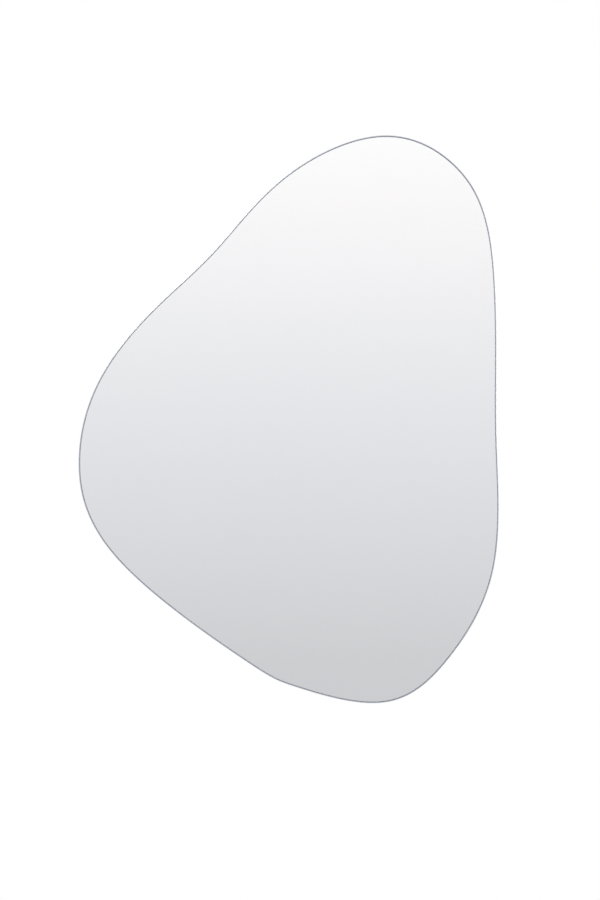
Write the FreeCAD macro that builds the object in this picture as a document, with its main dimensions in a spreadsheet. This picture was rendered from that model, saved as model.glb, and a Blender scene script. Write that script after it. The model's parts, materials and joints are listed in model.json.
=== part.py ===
import FreeCAD, Part
import os

import Sketcher

# A frameless wall mirror with an irregular pebble outline: silvered glass, bonded to a backing board that
# hangs on two interlocking metal rails. Lengths are in millimetres. X runs to the right as a person faces
# the mirror, Z is up and the front looks along -Y. The origin lies on the wall, midway between the wall
# rail's two screw holes, which is straight above the middle of the mirror's weight.

V = FreeCAD.Vector

drivingSizes = [
    ("mirror_width", 592),  # over the glass, side to side
    ("mirror_height", 800),
    ("hang_height", 140),  # from the middle of the glass's height up to the wall screws
    ("glass_thickness", 5),
    ("edge_land", 2),  # flat left between the two roundings of the polished edge
    ("silver_thickness", 0.1),
    ("paint_thickness", 0.1),
    ("film_thickness", 0.3),
    ("film_inset", 4),  # from the glass's outline in to the film's
    ("bond_thickness", 2),  # the tapes, and the adhesive squeezed between them
    ("tape_width", 19),
    ("bead_width", 12),
    ("strip_edge", 80),  # from the board's widest points in to the outer tapes' centres
    ("strip_end", 20),  # from the board's outline in to the end of a tape or bead
    ("board_thickness", 9),
    ("board_inset", 25),  # from the glass's outline in to the board's
    ("board_arris", 0.8),
    ("rail_metal", 2),
    ("rail_gap", 0.8),  # board rail to the wall, and wall rail to the board
    ("tongue_gap", 0.4),  # between the two hooked tongues
    ("tongue_height", 14),
    ("tongue_clearance", 0.3),  # under the hanging tongue's end
    ("tongue_lead", 0.4),  # chamfer that guides one tongue behind the other
    ("wall_flange_above", 10),  # from the wall screws up to the rail's jog
    ("wall_flange_below", 12),
    ("wall_hole_spacing", 200),
    ("wall_hole_end", 25),  # from a hole out to the rail's end
    ("wall_hole_diameter", 5),
    ("board_rail_length", 200),
    ("board_flange", 22),
    ("board_hole_end", 16),  # from the rail's end to its first screw
    ("screw_diameter", 3.5),
    ("screw_tip_skin", 1.5),  # board left in front of a screw's tip
    ("screw_point", 2.5),
    ("screw_head_diameter", 7),
    ("screw_head_height", 2.2),
    ("screw_head_round", 1.5),
    ("recess_span", 3.6),
    ("recess_slot", 0.9),
    ("recess_depth", 1.3),
    ("rail_clearance", 0.7),  # on the diameter, round a screw in the board's rail
    ("bumper_clearance", 0.3),  # the same in a bumper
    ("pilot_clearance", 0.1),  # the same in the board, whose wood the thread cuts
    ("pilot_extra", 0.5),  # hole beyond a screw's tip
    ("bumper_diameter", 25),
    ("bumper_taper", 1.5),  # how much the radius shrinks towards the wall
    ("bumper_round", 1.2),
    ("bumper_floor", 2.5),  # rubber under the screw's head
    ("bumper_well_room", 2),  # on the diameter, round the screw's sunk head
    ("bumper_edge", 35),  # from the board's outline in to a bumper's centre
    ("bumper_drop", 340),  # from the wall screws down to the bumpers
]

# The glass's outline is one closed smooth curve, drawn by these control points, counter-clockwise from the
# top as seen from the front. Each is a share of the mirror's width and height, from the outline's middle.
outlinePoles = [
    (0.2321, 0.5278),
    (-0.0314, 0.4340),
    (-0.1739, 0.2890),
    (-0.3172, 0.2029),
    (-0.4639, 0.0769),
    (-0.5179, -0.0744),
    (-0.4645, -0.2418),
    (-0.0444, -0.4566),
    (-0.0196, -0.4629),
    (0.2456, -0.5256),
    (0.3846, -0.4287),
    (0.5106, -0.2785),
    (0.4945, -0.0488),
    (0.4933, 0.0299),
    (0.4975, 0.3316),
    (0.4167, 0.4532),
]
balanceShare = 0.0674  # the outline's centre of area, right of its middle, as a share of the width

pointsPerPole = 8  # how closely an inset outline follows the glass's
insetEdges = 16  # how many edges an inset outline is made of

tapeCount = 5
boardScrewCount = 4

doc = FreeCAD.newDocument("irregular_mirror")


# Helpers

def makeSheet(name, sizes):
    """A sheet with a name in column A and its number in column B, which carries the name as its alias."""
    sheet = doc.addObject("Spreadsheet::Sheet", name)
    for row, (alias, number) in enumerate(sizes, start=1):
        sheet.set(f"A{row}", alias)
        sheet.set(f"B{row}", str(number))
        sheet.setAlias(f"B{row}", alias)
    doc.recompute()
    return sheet


def valueOf(expression):
    """The number that an expression over the sheets gives now."""
    return float(sizes.evalExpression(expression))


def bind(thing, **expressions):
    """Binds properties to expressions; a name such as Placement_Base_y stands for Placement.Base.y."""
    for path, expression in expressions.items():
        thing.setExpression(path.replace("_", "."), str(expression))


def makeBody(name):
    body = doc.addObject("PartDesign::Body", name)
    body.Label = name
    return body


def bodySketch(body, role, name):
    """A sketch on one of the body's own origin planes."""
    sketch = body.newObject("Sketcher::SketchObject", name)
    plane = [feature for feature in body.Origin.OriginFeatures if feature.Role == role][0]
    sketch.AttachmentSupport = [(plane, "")]
    sketch.MapMode = "FlatFace"
    return sketch


def pinPoint(sketch, geometry, point, across, up):
    """Holds a point of the sketch at two expressions, measured from the sketch's origin."""
    for kind, expression in (("DistanceX", across), ("DistanceY", up)):
        index = sketch.addConstraint(Sketcher.Constraint(kind, -1, 1, geometry, point, valueOf(expression)))
        sketch.setExpression(f"Constraints[{index}]", expression)


def drawPolygon(sketch, corners):
    """A closed run of straight lines through corners, each a pair of expressions."""
    points = [V(valueOf(across), valueOf(up), 0) for across, up in corners]
    first = sketch.GeometryCount
    count = len(points)
    for i in range(count):
        sketch.addGeometry(Part.LineSegment(points[i], points[(i + 1) % count]), False)
    for i in range(count):
        following = first + (i + 1) % count
        sketch.addConstraint(Sketcher.Constraint("Coincident", first + i, 2, following, 1))
        pinPoint(sketch, first + i, 1, *corners[i])


def drawOutline(sketch):
    """The glass's outline, as a closed cubic curve whose control points follow the mirror's two sizes."""
    poles = []
    for across, up in outlinePoles:
        x = f"({across} - {balanceShare}) * sizes.mirror_width"
        z = f"{up} * sizes.mirror_height - sizes.hang_height"
        poles.append((x, z))
    points = [V(valueOf(x), valueOf(z), 0) for x, z in poles]
    count = len(points)
    curve = Part.BSplineCurve()
    curve.buildFromPolesMultsKnots(points, [1] * (count + 1), list(range(count + 1)), True, 3)
    index = sketch.addGeometry(curve, False)
    sketch.exposeInternalGeometry(index)
    for i in range(count):
        pinPoint(sketch, index + 1 + i, 3, *poles[i])


def revolve(body, corners):
    """A turned solid about the body's Y axis, from corners given as radius and height along Y."""
    sketch = bodySketch(body, "XY_Plane", body.Name + "_profile")
    drawPolygon(sketch, corners)
    turned = body.newObject("PartDesign::Revolution", body.Name + "_turned")
    turned.Profile = sketch
    turned.ReferenceAxis = (sketch, ["V_Axis"])
    turned.Angle = 360
    doc.recompute()
    return turned


def near(value, wanted):
    return abs(value - wanted) < 0.01


def endsAt(edge, axis, place):
    """Whether every end of an edge lies at one place along an axis; a closed edge has one end."""
    return all(near(getattr(vertex.Point, axis), place) for vertex in edge.Vertexes)


def edgeNames(shape, test):
    return [f"Edge{i}" for i, edge in enumerate(shape.Edges, start=1) if test(edge)]


def crossings(wire, start, end):
    """Where a straight line from start to end crosses a wire."""
    line = Part.makeLine(start, end)
    return [vertex.Point for vertex in wire.section(line).Vertexes]


# Depths, from the wall out to the glass

sizes = makeSheet("sizes", drivingSizes)

railDepth = "(2 * sizes.rail_metal + 2 * sizes.rail_gap + sizes.tongue_gap)"
boardFront = f"({railDepth} + sizes.board_thickness)"
bondFront = f"({boardFront} + sizes.bond_thickness)"
filmFront = f"({bondFront} + sizes.film_thickness)"
paintFront = f"({filmFront} + sizes.paint_thickness)"
silverFront = f"({paintFront} + sizes.silver_thickness)"
edgeRadius = "((sizes.glass_thickness - sizes.edge_land) / 2)"


# Glass and the layers on its back

def makeGlass():
    body = makeBody("mirror_glass")
    sketch = bodySketch(body, "XZ_Plane", "glass_outline")
    drawOutline(sketch)
    slab = body.newObject("PartDesign::Pad", "glass_slab")
    slab.Profile = sketch
    bind(slab, Length="sizes.glass_thickness")
    doc.recompute()
    # the rim is rounded from the front and from the back, which leaves a narrow land between
    thickness = valueOf("sizes.glass_thickness")
    polish = body.newObject("PartDesign::Fillet", "glass_polish")
    polish.Base = (slab, edgeNames(slab.Shape, lambda edge: edge.Length > 2 * thickness))
    bind(polish, Radius=edgeRadius)
    bind(body, Placement_Base_y=f"-{silverFront}")
    return body


def makeOutline():
    """The same outline standing alone, from which every thinner layer is offset inwards."""
    sketch = doc.addObject("Sketcher::SketchObject", "layer_outline")
    sketch.Placement = FreeCAD.Placement(V(0, 0, 0), FreeCAD.Rotation(V(1, 0, 0), 90))
    drawOutline(sketch)
    doc.recompute()
    return sketch


def makeInset(name, inset):
    """The outline moved inwards, as a closed curve through points that are taken square to it."""
    glassEdge = layerOutline.Shape.Edges[0]
    start, end = glassEdge.ParameterRange
    distance = valueOf(inset)
    count = len(outlinePoles) * pointsPerPole
    points = []
    for i in range(count):
        parameter = start + (end - start) * i / count
        along = glassEdge.tangentAt(parameter)
        inwards = V(-along.z, 0, along.x)
        points.append(glassEdge.valueAt(parameter) + inwards * distance)
    curve = Part.BSplineCurve()
    curve.interpolate(Points=points, PeriodicFlag=True)
    # the smooth curve is cut into edges, because areas inside one very long edge come out inexact
    step = (curve.LastParameter - curve.FirstParameter) / insetEdges
    edges = []
    for i in range(insetEdges):
        stretch = curve.copy()
        stretch.segment(curve.FirstParameter + i * step, curve.FirstParameter + (i + 1) * step)
        edges.append(stretch.toShape())
    loop = doc.addObject("Part::Feature", name)
    loop.Shape = Part.Wire(edges)
    return loop


def makeLayer(name, inset, thickness, rear):
    """A flat layer inside the outline, rear being the distance from the wall to its back."""
    layer = doc.addObject("Part::Extrusion", name)
    layer.Base = makeInset(name + "_outline", inset)
    layer.DirMode = "Custom"
    layer.Dir = V(0, -1, 0)
    layer.Solid = True
    bind(layer, LengthFwd=thickness, Placement_Base_y=f"-{rear}")
    return layer


# The bond between film and board

def findSpan(x, width):
    """Lowest and highest height at which a strip of this width round x keeps strip_end inside the board."""
    reach = valueOf("sizes.mirror_height")
    lows = []
    highs = []
    for side in (x - width / 2, x + width / 2):
        heights = [p.z for p in crossings(boardOutline.Shape, V(side, 0, -2 * reach), V(side, 0, reach))]
        lows.append(min(heights))
        highs.append(max(heights))
    return max(lows) + sizes.strip_end, min(highs) - sizes.strip_end


def fitStrips():
    """Places of the upright strips: tapes evenly over the board's width, with a bead between each two."""
    boardWidth = sizes.mirror_width - 2 * sizes.board_inset
    left = -(0.5 + balanceShare) * sizes.mirror_width + sizes.board_inset
    pitch = (boardWidth - 2 * sizes.strip_edge) / (tapeCount - 1)
    places = []
    for kind, count, shift, width in (("tape", tapeCount, 0, sizes.tape_width),
                                      ("bead", tapeCount - 1, pitch / 2, sizes.bead_width)):
        for i in range(count):
            x = left + sizes.strip_edge + shift + i * pitch
            low, high = findSpan(x, width)
            label = f"{kind}_{i + 1}"
            places += [(label + "_x", x), (label + "_low", low), (label + "_high", high)]
    return places


def fitBumpers():
    """Centres of the two bumpers, bumper_edge in from the board's outline at their height."""
    z = -sizes.bumper_drop
    reach = sizes.mirror_width
    across = [p.x for p in crossings(boardOutline.Shape, V(-reach, 0, z), V(reach, 0, z))]
    return [("bumper_left_x", min(across) + sizes.bumper_edge),
            ("bumper_right_x", max(across) - sizes.bumper_edge)]


def makePeg(name, diameter, length, x, rear, z):
    """A round peg that starts at the depth rear and runs towards the front."""
    peg = doc.addObject("Part::Cylinder", name)
    peg.Placement = FreeCAD.Placement(V(0, 0, 0), FreeCAD.Rotation(V(1, 0, 0), 90))
    bind(peg, Radius=f"{diameter} / 2", Height=length,
         Placement_Base_x=x, Placement_Base_y=f"-{rear}", Placement_Base_z=z)
    return peg


def makeTape(index):
    place = f"fitted.tape_{index}"
    tape = doc.addObject("Part::Box", f"foam_tape_{index}")
    bind(tape, Length="sizes.tape_width", Width="sizes.bond_thickness", Height=f"{place}_high - {place}_low",
         Placement_Base_x=f"{place}_x - sizes.tape_width / 2", Placement_Base_y=f"-{bondFront}",
         Placement_Base_z=f"{place}_low")
    return tape


def makeBead(index):
    """Adhesive pressed flat between film and board, which rounds its two ends."""
    name = f"adhesive_bead_{index}"
    place = f"fitted.bead_{index}"
    radius = "sizes.bead_width / 2"
    run = doc.addObject("Part::Box", name + "_run")
    bind(run, Length="sizes.bead_width", Width="sizes.bond_thickness",
         Height=f"{place}_high - {place}_low - sizes.bead_width",
         Placement_Base_x=f"{place}_x - {radius}", Placement_Base_y=f"-{bondFront}",
         Placement_Base_z=f"{place}_low + {radius}")
    ends = [makePeg(f"{name}_{end}", "sizes.bead_width", "sizes.bond_thickness", f"{place}_x", boardFront, z)
            for end, z in (("foot", f"{place}_low + {radius}"), ("head", f"{place}_high - {radius}"))]
    bead = doc.addObject("Part::MultiFuse", name)
    bead.Shapes = [run] + ends
    return bead


# Backing board

jogTop = "(sizes.wall_flange_above + sizes.rail_metal)"
tongueTop = f"({jogTop} + sizes.tongue_height)"
boardRailTop = f"({tongueTop} + sizes.rail_metal + sizes.board_flange)"
boardScrewHeight = f"({boardRailTop} - sizes.board_flange / 2)"
boardScrewPitch = f"((sizes.board_rail_length - 2 * sizes.board_hole_end) / {boardScrewCount - 1})"
boardScrewPlaces = [(f"({i - (boardScrewCount - 1) / 2}) * {boardScrewPitch}", boardScrewHeight)
                    for i in range(boardScrewCount)]
bumperPlaces = [(f"fitted.bumper_{side}_x", "-sizes.bumper_drop") for side in ("left", "right")]
screwLength = "(sizes.rail_metal + sizes.board_thickness - sizes.screw_tip_skin)"


def makeBoard():
    panel = makeLayer("board_panel", "sizes.board_inset", "sizes.board_thickness", railDepth)
    doc.recompute()
    rear = panel.Placement.Base.y
    arris = valueOf("sizes.board_arris")
    eased = doc.addObject("Part::Chamfer", "board_eased")
    eased.Base = panel
    eased.Edges = [(i, arris, arris) for i, edge in enumerate(panel.Shape.Edges, start=1)
                   if endsAt(edge, "y", rear)]
    depth = f"{screwLength} - sizes.rail_metal + sizes.pilot_extra"
    diameter = "(sizes.screw_diameter + sizes.pilot_clearance)"
    holes = [makePeg(f"board_pilot_{i}", diameter, depth, x, railDepth, z)
             for i, (x, z) in enumerate(boardScrewPlaces + bumperPlaces, start=1)]
    drill = doc.addObject("Part::Compound", "board_pilots")
    drill.Links = holes
    board = doc.addObject("Part::Cut", "backing_board")
    board.Base = eased
    board.Tool = drill
    return board


# Hanging rails

def makeRail(name, corners, length, tipHeight, holes, holeDiameter):
    """A straight bar of one section, whose corners are depths from the wall and heights, with its holes."""
    body = makeBody(name)
    profile = bodySketch(body, "YZ_Plane", name + "_section")
    drawPolygon(profile, [(f"-{depth}", height) for depth, height in corners])
    bar = body.newObject("PartDesign::Pad", name + "_bar")
    bar.Profile = profile
    bar.SideType = "Symmetric"
    bind(bar, Length=length)
    doc.recompute()
    tip = valueOf(tipHeight)
    barLength = valueOf(length)
    lead = body.newObject("PartDesign::Chamfer", name + "_lead")
    lead.Base = (bar, edgeNames(bar.Shape, lambda edge: endsAt(edge, "z", tip)
                                and near(edge.Length, barLength)))
    bind(lead, Size="sizes.tongue_lead")
    doc.recompute()
    drilled = bodySketch(body, "XZ_Plane", name + "_holes")
    diameter = valueOf(holeDiameter)
    for x, z in holes:
        centre = V(valueOf(x), valueOf(z), 0)
        circle = drilled.addGeometry(Part.Circle(centre, V(0, 0, 1), diameter / 2), False)
        pinPoint(drilled, circle, 3, x, z)
        size = drilled.addConstraint(Sketcher.Constraint("Diameter", circle, diameter))
        drilled.setExpression(f"Constraints[{size}]", holeDiameter)
    cutPocket(body, drilled, name + "_drilling", None)
    return body


def cutPocket(body, sketch, name, depth):
    """Cuts towards the front, right through when no depth is given, and makes sure that it cut something."""
    before = body.Shape.Volume
    pocket = body.newObject("PartDesign::Pocket", name)
    pocket.Profile = sketch
    pocket.Reversed = True
    if depth is None:
        pocket.Type = "ThroughAll"
    else:
        bind(pocket, Length=depth)
    doc.recompute()
    if body.Shape.Volume > before - 0.1:
        raise RuntimeError(f"{name} cuts nothing")


def makeWallRail():
    foot = "(-sizes.wall_flange_below)"
    front = f"({railDepth} - sizes.rail_gap)"
    corners = [
        ("0", foot),
        ("sizes.rail_metal", foot),
        ("sizes.rail_metal", "sizes.wall_flange_above"),
        (front, "sizes.wall_flange_above"),
        (front, tongueTop),
        (f"({front} - sizes.rail_metal)", tongueTop),
        (f"({front} - sizes.rail_metal)", jogTop),
        ("0", jogTop),
    ]
    holes = [("-sizes.wall_hole_spacing / 2", "0"), ("sizes.wall_hole_spacing / 2", "0")]
    length = "(sizes.wall_hole_spacing + 2 * sizes.wall_hole_end)"
    return makeRail("wall_rail", corners, length, tongueTop, holes, "sizes.wall_hole_diameter")


def makeBoardRail():
    foot = f"({jogTop} + sizes.tongue_clearance)"
    tongueBack = "sizes.rail_gap"
    tongueFront = "(sizes.rail_gap + sizes.rail_metal)"
    flangeBack = f"({railDepth} - sizes.rail_metal)"
    shoulder = f"({tongueTop} + sizes.rail_metal)"
    corners = [
        (tongueBack, foot),
        (tongueFront, foot),
        (tongueFront, tongueTop),
        (railDepth, tongueTop),
        (railDepth, boardRailTop),
        (flangeBack, boardRailTop),
        (flangeBack, shoulder),
        (tongueBack, shoulder),
    ]
    return makeRail("board_rail", corners, "sizes.board_rail_length", foot, boardScrewPlaces,
                    "(sizes.screw_diameter + sizes.rail_clearance)")


# Bumpers and screws

def makeBumper(name, x):
    body = makeBody(name)
    hole = "(sizes.screw_diameter + sizes.bumper_clearance) / 2"
    well = "(sizes.screw_head_diameter + sizes.bumper_well_room) / 2"
    rim = "(sizes.bumper_diameter / 2 - sizes.bumper_taper)"
    seat = f"(-({railDepth} - sizes.bumper_floor))"
    turned = revolve(body, [
        (hole, f"-{railDepth}"),
        ("sizes.bumper_diameter / 2", f"-{railDepth}"),
        (rim, "0"),
        (well, "0"),
        (well, seat),
        (hole, seat),
    ])
    rimRadius = valueOf(rim)
    soft = body.newObject("PartDesign::Fillet", name + "_rim")
    soft.Base = (turned, edgeNames(turned.Shape, lambda edge: endsAt(edge, "y", 0)
                                   and near(edge.Vertexes[0].Point.Length, rimRadius)))
    bind(soft, Radius="sizes.bumper_round")
    bind(body, Placement_Base_x=x, Placement_Base_z="-sizes.bumper_drop")
    return body


def makeScrew():
    """One pan-head screw with its seat at the origin, its head behind and its point ahead."""
    body = makeBody("screw")
    headTop = "sizes.screw_head_height"
    turned = revolve(body, [
        ("0", headTop),
        ("sizes.screw_head_diameter / 2", headTop),
        ("sizes.screw_head_diameter / 2", "0"),
        ("sizes.screw_diameter / 2", "0"),
        ("sizes.screw_diameter / 2", f"-({screwLength} - sizes.screw_point)"),
        ("0", f"-{screwLength}"),
    ])
    top = valueOf(headTop)
    dome = body.newObject("PartDesign::Fillet", "screw_dome")
    dome.Base = (turned, edgeNames(turned.Shape, lambda edge: endsAt(edge, "y", top)))
    bind(dome, Radius="sizes.screw_head_round")
    doc.recompute()
    cross = bodySketch(body, "XZ_Plane", "screw_cross")
    bind(cross, AttachmentOffset_Base_z=f"-{headTop}")
    reach = "(sizes.recess_span / 2)"
    slot = "(sizes.recess_slot / 2)"
    quarter = [(reach, slot), (slot, slot), (slot, reach)]
    drawPolygon(cross, turnQuarters(quarter))
    cutPocket(body, cross, "screw_recess", "sizes.recess_depth")
    return body


def turnQuarters(corners):
    """Corners of one arm, as expressions, repeated by quarter turns into a closed cross."""
    turned = list(corners)
    for quarterTurn in range(3):
        corners = [(f"(-{up})", across) for across, up in corners]
        turned += corners
    return turned


def makeScrewGroup(name, places, rear):
    """Copies of the screw with their heads seated at the depth rear, as one group of separate solids."""
    copies = []
    for i, (x, z) in enumerate(places, start=1):
        copy = doc.addObject("App::Link", f"{name}_{i}")
        copy.LinkedObject = screw
        bind(copy, Placement_Base_x=x, Placement_Base_y=f"-{rear}", Placement_Base_z=z)
        copies.append(copy)
    group = doc.addObject("Part::Compound", name)
    group.Links = copies
    return group


# The assembly

layerOutline = makeOutline()
boardOutline = makeInset("board_edge", "sizes.board_inset")
doc.recompute()
fitted = makeSheet("fitted", [(name, round(float(number), 3)) for name, number in fitStrips() + fitBumpers()])

screw = makeScrew()
subparts = [
    makeGlass(),
    makeLayer("silver_coating", edgeRadius, "sizes.silver_thickness", paintFront),
    makeLayer("backing_paint", edgeRadius, "sizes.paint_thickness", filmFront),
    makeLayer("safety_film", "sizes.film_inset", "sizes.film_thickness", bondFront),
]
subparts += [makeTape(i) for i in range(1, tapeCount + 1)]
subparts += [makeBead(i) for i in range(1, tapeCount)]
subparts += [
    makeBoard(),
    makeBoardRail(),
    makeScrewGroup("board_rail_screws", boardScrewPlaces, f"({railDepth} - sizes.rail_metal)"),
    makeWallRail(),
    makeBumper("bumper_left", "fitted.bumper_left_x"),
    makeBumper("bumper_right", "fitted.bumper_right_x"),
    makeScrewGroup("bumper_screws", bumperPlaces, f"({railDepth} - sizes.bumper_floor)"),
]
doc.recompute()

for thing in doc.Objects:
    if "Invalid" in thing.State or "Error" in thing.State:
        raise RuntimeError(f"{thing.Name} did not build")
for subpart in subparts:
    if subpart.Shape.isNull() or not subpart.Shape.isValid():
        raise RuntimeError(f"{subpart.Label} has no valid shape")

os.makedirs("parts", exist_ok=True)
for subpart in subparts:
    subpart.Shape.exportStep(f"parts/{subpart.Label}.step")
    print(f"{subpart.Label}: {len(subpart.Shape.Solids)} solid, {subpart.Shape.Volume / 1000:.2f} cm3")
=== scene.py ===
import json
import math
import random

import bmesh
import bpy
from mathutils import Color, Matrix, Vector

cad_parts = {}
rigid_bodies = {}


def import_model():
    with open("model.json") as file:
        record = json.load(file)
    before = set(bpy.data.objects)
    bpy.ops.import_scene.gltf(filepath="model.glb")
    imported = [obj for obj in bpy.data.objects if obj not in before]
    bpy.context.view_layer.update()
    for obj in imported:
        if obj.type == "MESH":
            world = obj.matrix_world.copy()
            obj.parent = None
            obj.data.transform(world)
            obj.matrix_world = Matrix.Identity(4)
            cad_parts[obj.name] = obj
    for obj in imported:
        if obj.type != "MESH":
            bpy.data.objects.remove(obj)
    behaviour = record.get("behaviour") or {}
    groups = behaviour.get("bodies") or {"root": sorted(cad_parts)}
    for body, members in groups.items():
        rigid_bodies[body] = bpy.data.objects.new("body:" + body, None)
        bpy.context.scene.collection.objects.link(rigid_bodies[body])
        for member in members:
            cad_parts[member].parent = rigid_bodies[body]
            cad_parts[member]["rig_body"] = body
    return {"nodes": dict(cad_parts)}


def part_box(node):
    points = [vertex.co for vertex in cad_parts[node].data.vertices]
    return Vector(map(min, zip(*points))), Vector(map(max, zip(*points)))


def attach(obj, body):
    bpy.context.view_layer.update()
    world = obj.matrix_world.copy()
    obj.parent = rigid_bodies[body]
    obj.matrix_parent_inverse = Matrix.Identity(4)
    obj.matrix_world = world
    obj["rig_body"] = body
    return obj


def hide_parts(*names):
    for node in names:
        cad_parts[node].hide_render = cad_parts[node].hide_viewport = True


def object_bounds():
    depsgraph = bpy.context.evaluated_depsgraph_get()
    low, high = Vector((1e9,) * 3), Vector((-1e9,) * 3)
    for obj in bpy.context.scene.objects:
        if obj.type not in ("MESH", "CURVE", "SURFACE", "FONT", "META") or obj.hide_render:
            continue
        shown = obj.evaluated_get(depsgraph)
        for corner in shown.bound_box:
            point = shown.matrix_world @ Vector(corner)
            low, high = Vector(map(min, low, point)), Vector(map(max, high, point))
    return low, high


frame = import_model()
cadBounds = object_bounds()


# Node trees

def screenTone(red, green, blue):
    # a screen colour of 0 to 255 as the linear colour that a socket takes
    shares = Color((red / 255, green / 255, blue / 255))
    return (*shares.from_srgb_to_scene_linear(), 1)


def addNode(tree, kind, inputs=None, **settings):
    node = tree.nodes.new("ShaderNode" + kind)
    node.location = (200 * len(tree.nodes), 0)
    for name, value in settings.items():
        setattr(node, name, value)
    for name, value in (inputs or {}).items():
        if isinstance(value, bpy.types.NodeSocket):
            tree.links.new(value, node.inputs[name])
        else:
            node.inputs[name].default_value = value
    return node


def reckon(tree, operation, first, second=0.0):
    return addNode(tree, "Math", {0: first, 1: second}, operation=operation).outputs[0]


def rescale(tree, value, low, high, newLow=0.0, newHigh=1.0, curve="LINEAR"):
    limits = {"Value": value, "From Min": low, "From Max": high, "To Min": newLow, "To Max": newHigh}
    return addNode(tree, "MapRange", limits, interpolation_type=curve).outputs[0]


def mixTones(tree, share, low, high):
    # sockets 6 and 7 are the mix node's two colours, and output 2 is its colour
    return addNode(tree, "Mix", {0: share, 6: low, 7: high}, data_type="RGBA").outputs[2]


def stretch(tree, place, amounts):
    return addNode(tree, "Mapping", {"Vector": place, "Scale": amounts}).outputs[0]


def noise(tree, place, size, detail=2, roughness=0.5):
    scale = reckon(tree, "DIVIDE", 1, size)
    inputs = {"Vector": place, "Scale": scale, "Detail": detail, "Roughness": roughness}
    return addNode(tree, "TexNoise", inputs).outputs["Fac"]


def bump(tree, height, distance):
    return addNode(tree, "Bump", {"Height": height, "Distance": distance}).outputs[0]


def newGroup(name, inputs, outputs):
    group = bpy.data.node_groups.new(name, "ShaderNodeTree")
    for socketName, kind, value in inputs:
        socket = group.interface.new_socket(name=socketName, in_out="INPUT", socket_type="NodeSocket" + kind)
        if value is not None:
            socket.default_value = value
    for socketName, kind in outputs:
        group.interface.new_socket(name=socketName, in_out="OUTPUT", socket_type="NodeSocket" + kind)
    given = group.nodes.new("NodeGroupInput").outputs
    result = group.nodes.new("NodeGroupOutput").inputs
    return group, given, result


def useGroup(tree, group, **inputs):
    return addNode(tree, "Group", inputs, node_tree=group).outputs


def newMaterial(name, **plainValues):
    material = bpy.data.materials.new(name)
    material.use_nodes = True
    tree = material.node_tree
    shader = tree.nodes["Principled BSDF"].inputs
    for socketName, value in plainValues.items():
        shader[socketName].default_value = value
    place = addNode(tree, "TexCoord").outputs["Object"]
    return material, tree, shader, place


# Effects that several finishes share

def makeMottle():
    # soft patches of a second tone
    cloud = {"detail": 4, "roughness": 0.6, "from": 0.36, "to": 0.64}
    group, given, result = newGroup(
        "mottle",
        [("Place", "Vector", None), ("Patch", "Float", 0.02),
         ("Main", "Color", (0.5, 0.5, 0.5, 1)), ("Other", "Color", (0.4, 0.4, 0.4, 1))],
        [("Color", "Color"), ("Mask", "Float")])
    clouds = noise(group, given["Place"], given["Patch"], cloud["detail"], cloud["roughness"])
    patches = rescale(group, clouds, cloud["from"], cloud["to"])
    group.links.new(patches, result["Mask"])
    group.links.new(mixTones(group, patches, given["Main"], given["Other"]), result["Color"])
    return group


def makeStreaks():
    # fine lines along the axis that Squeeze shrinks most
    line = {"detail": 5, "roughness": 0.65, "from": 0.42, "to": 0.62}
    group, given, result = newGroup(
        "streaks",
        [("Place", "Vector", None), ("Squeeze", "Vector", (1, 1, 1)), ("Width", "Float", 0.001)],
        [("Height", "Float"), ("Mask", "Float")])
    squeezed = addNode(group, "VectorMath", {0: given["Place"], 1: given["Squeeze"]}, operation="MULTIPLY")
    lines = noise(group, squeezed.outputs[0], given["Width"], line["detail"], line["roughness"])
    group.links.new(lines, result["Height"])
    group.links.new(rescale(group, lines, line["from"], line["to"]), result["Mask"])
    return group


def makeSpecks():
    # small round spots, in the given share of the cells; the sizes are shares of a cell
    spot = {"smallest": 0.12, "largest": 0.4, "softEdge": 0.08}
    group, given, result = newGroup(
        "specks",
        [("Place", "Vector", None), ("Cell", "Float", 0.003), ("Share", "Float", 0.3)],
        [("Mask", "Float")])
    scale = reckon(group, "DIVIDE", 1, given["Cell"])
    cells = addNode(group, "TexVoronoi", {"Vector": given["Place"], "Scale": scale})
    chance = addNode(group, "SeparateColor", {0: cells.outputs["Color"]}).outputs
    kept = reckon(group, "LESS_THAN", chance["Red"], given["Share"])
    radius = rescale(group, chance["Green"], 0, 1, spot["smallest"], spot["largest"])
    inside = rescale(group, reckon(group, "SUBTRACT", radius, cells.outputs["Distance"]), 0, spot["softEdge"])
    group.links.new(reckon(group, "MULTIPLY", kept, inside), result["Mask"])
    return group


mottle, streaks, specks = makeMottle(), makeStreaks(), makeSpecks()


# Finishes

def makeClearGlass():
    look = {"smudgePatch": 0.09, "smudgeFrom": 0.62, "smudgeTo": 0.8, "clean": 0.0, "smudged": 0.012}
    glass, tree, shader, place = newMaterial(
        "clearGlass", **{"Transmission Weight": 1.0, "IOR": 1.52, "Base Color": (0.995, 1.0, 0.997, 1)})
    patches = noise(tree, place, look["smudgePatch"])
    smudges = rescale(tree, patches, look["smudgeFrom"], look["smudgeTo"], look["clean"], look["smudged"])
    tree.links.new(smudges, shader["Roughness"])
    return glass


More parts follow.
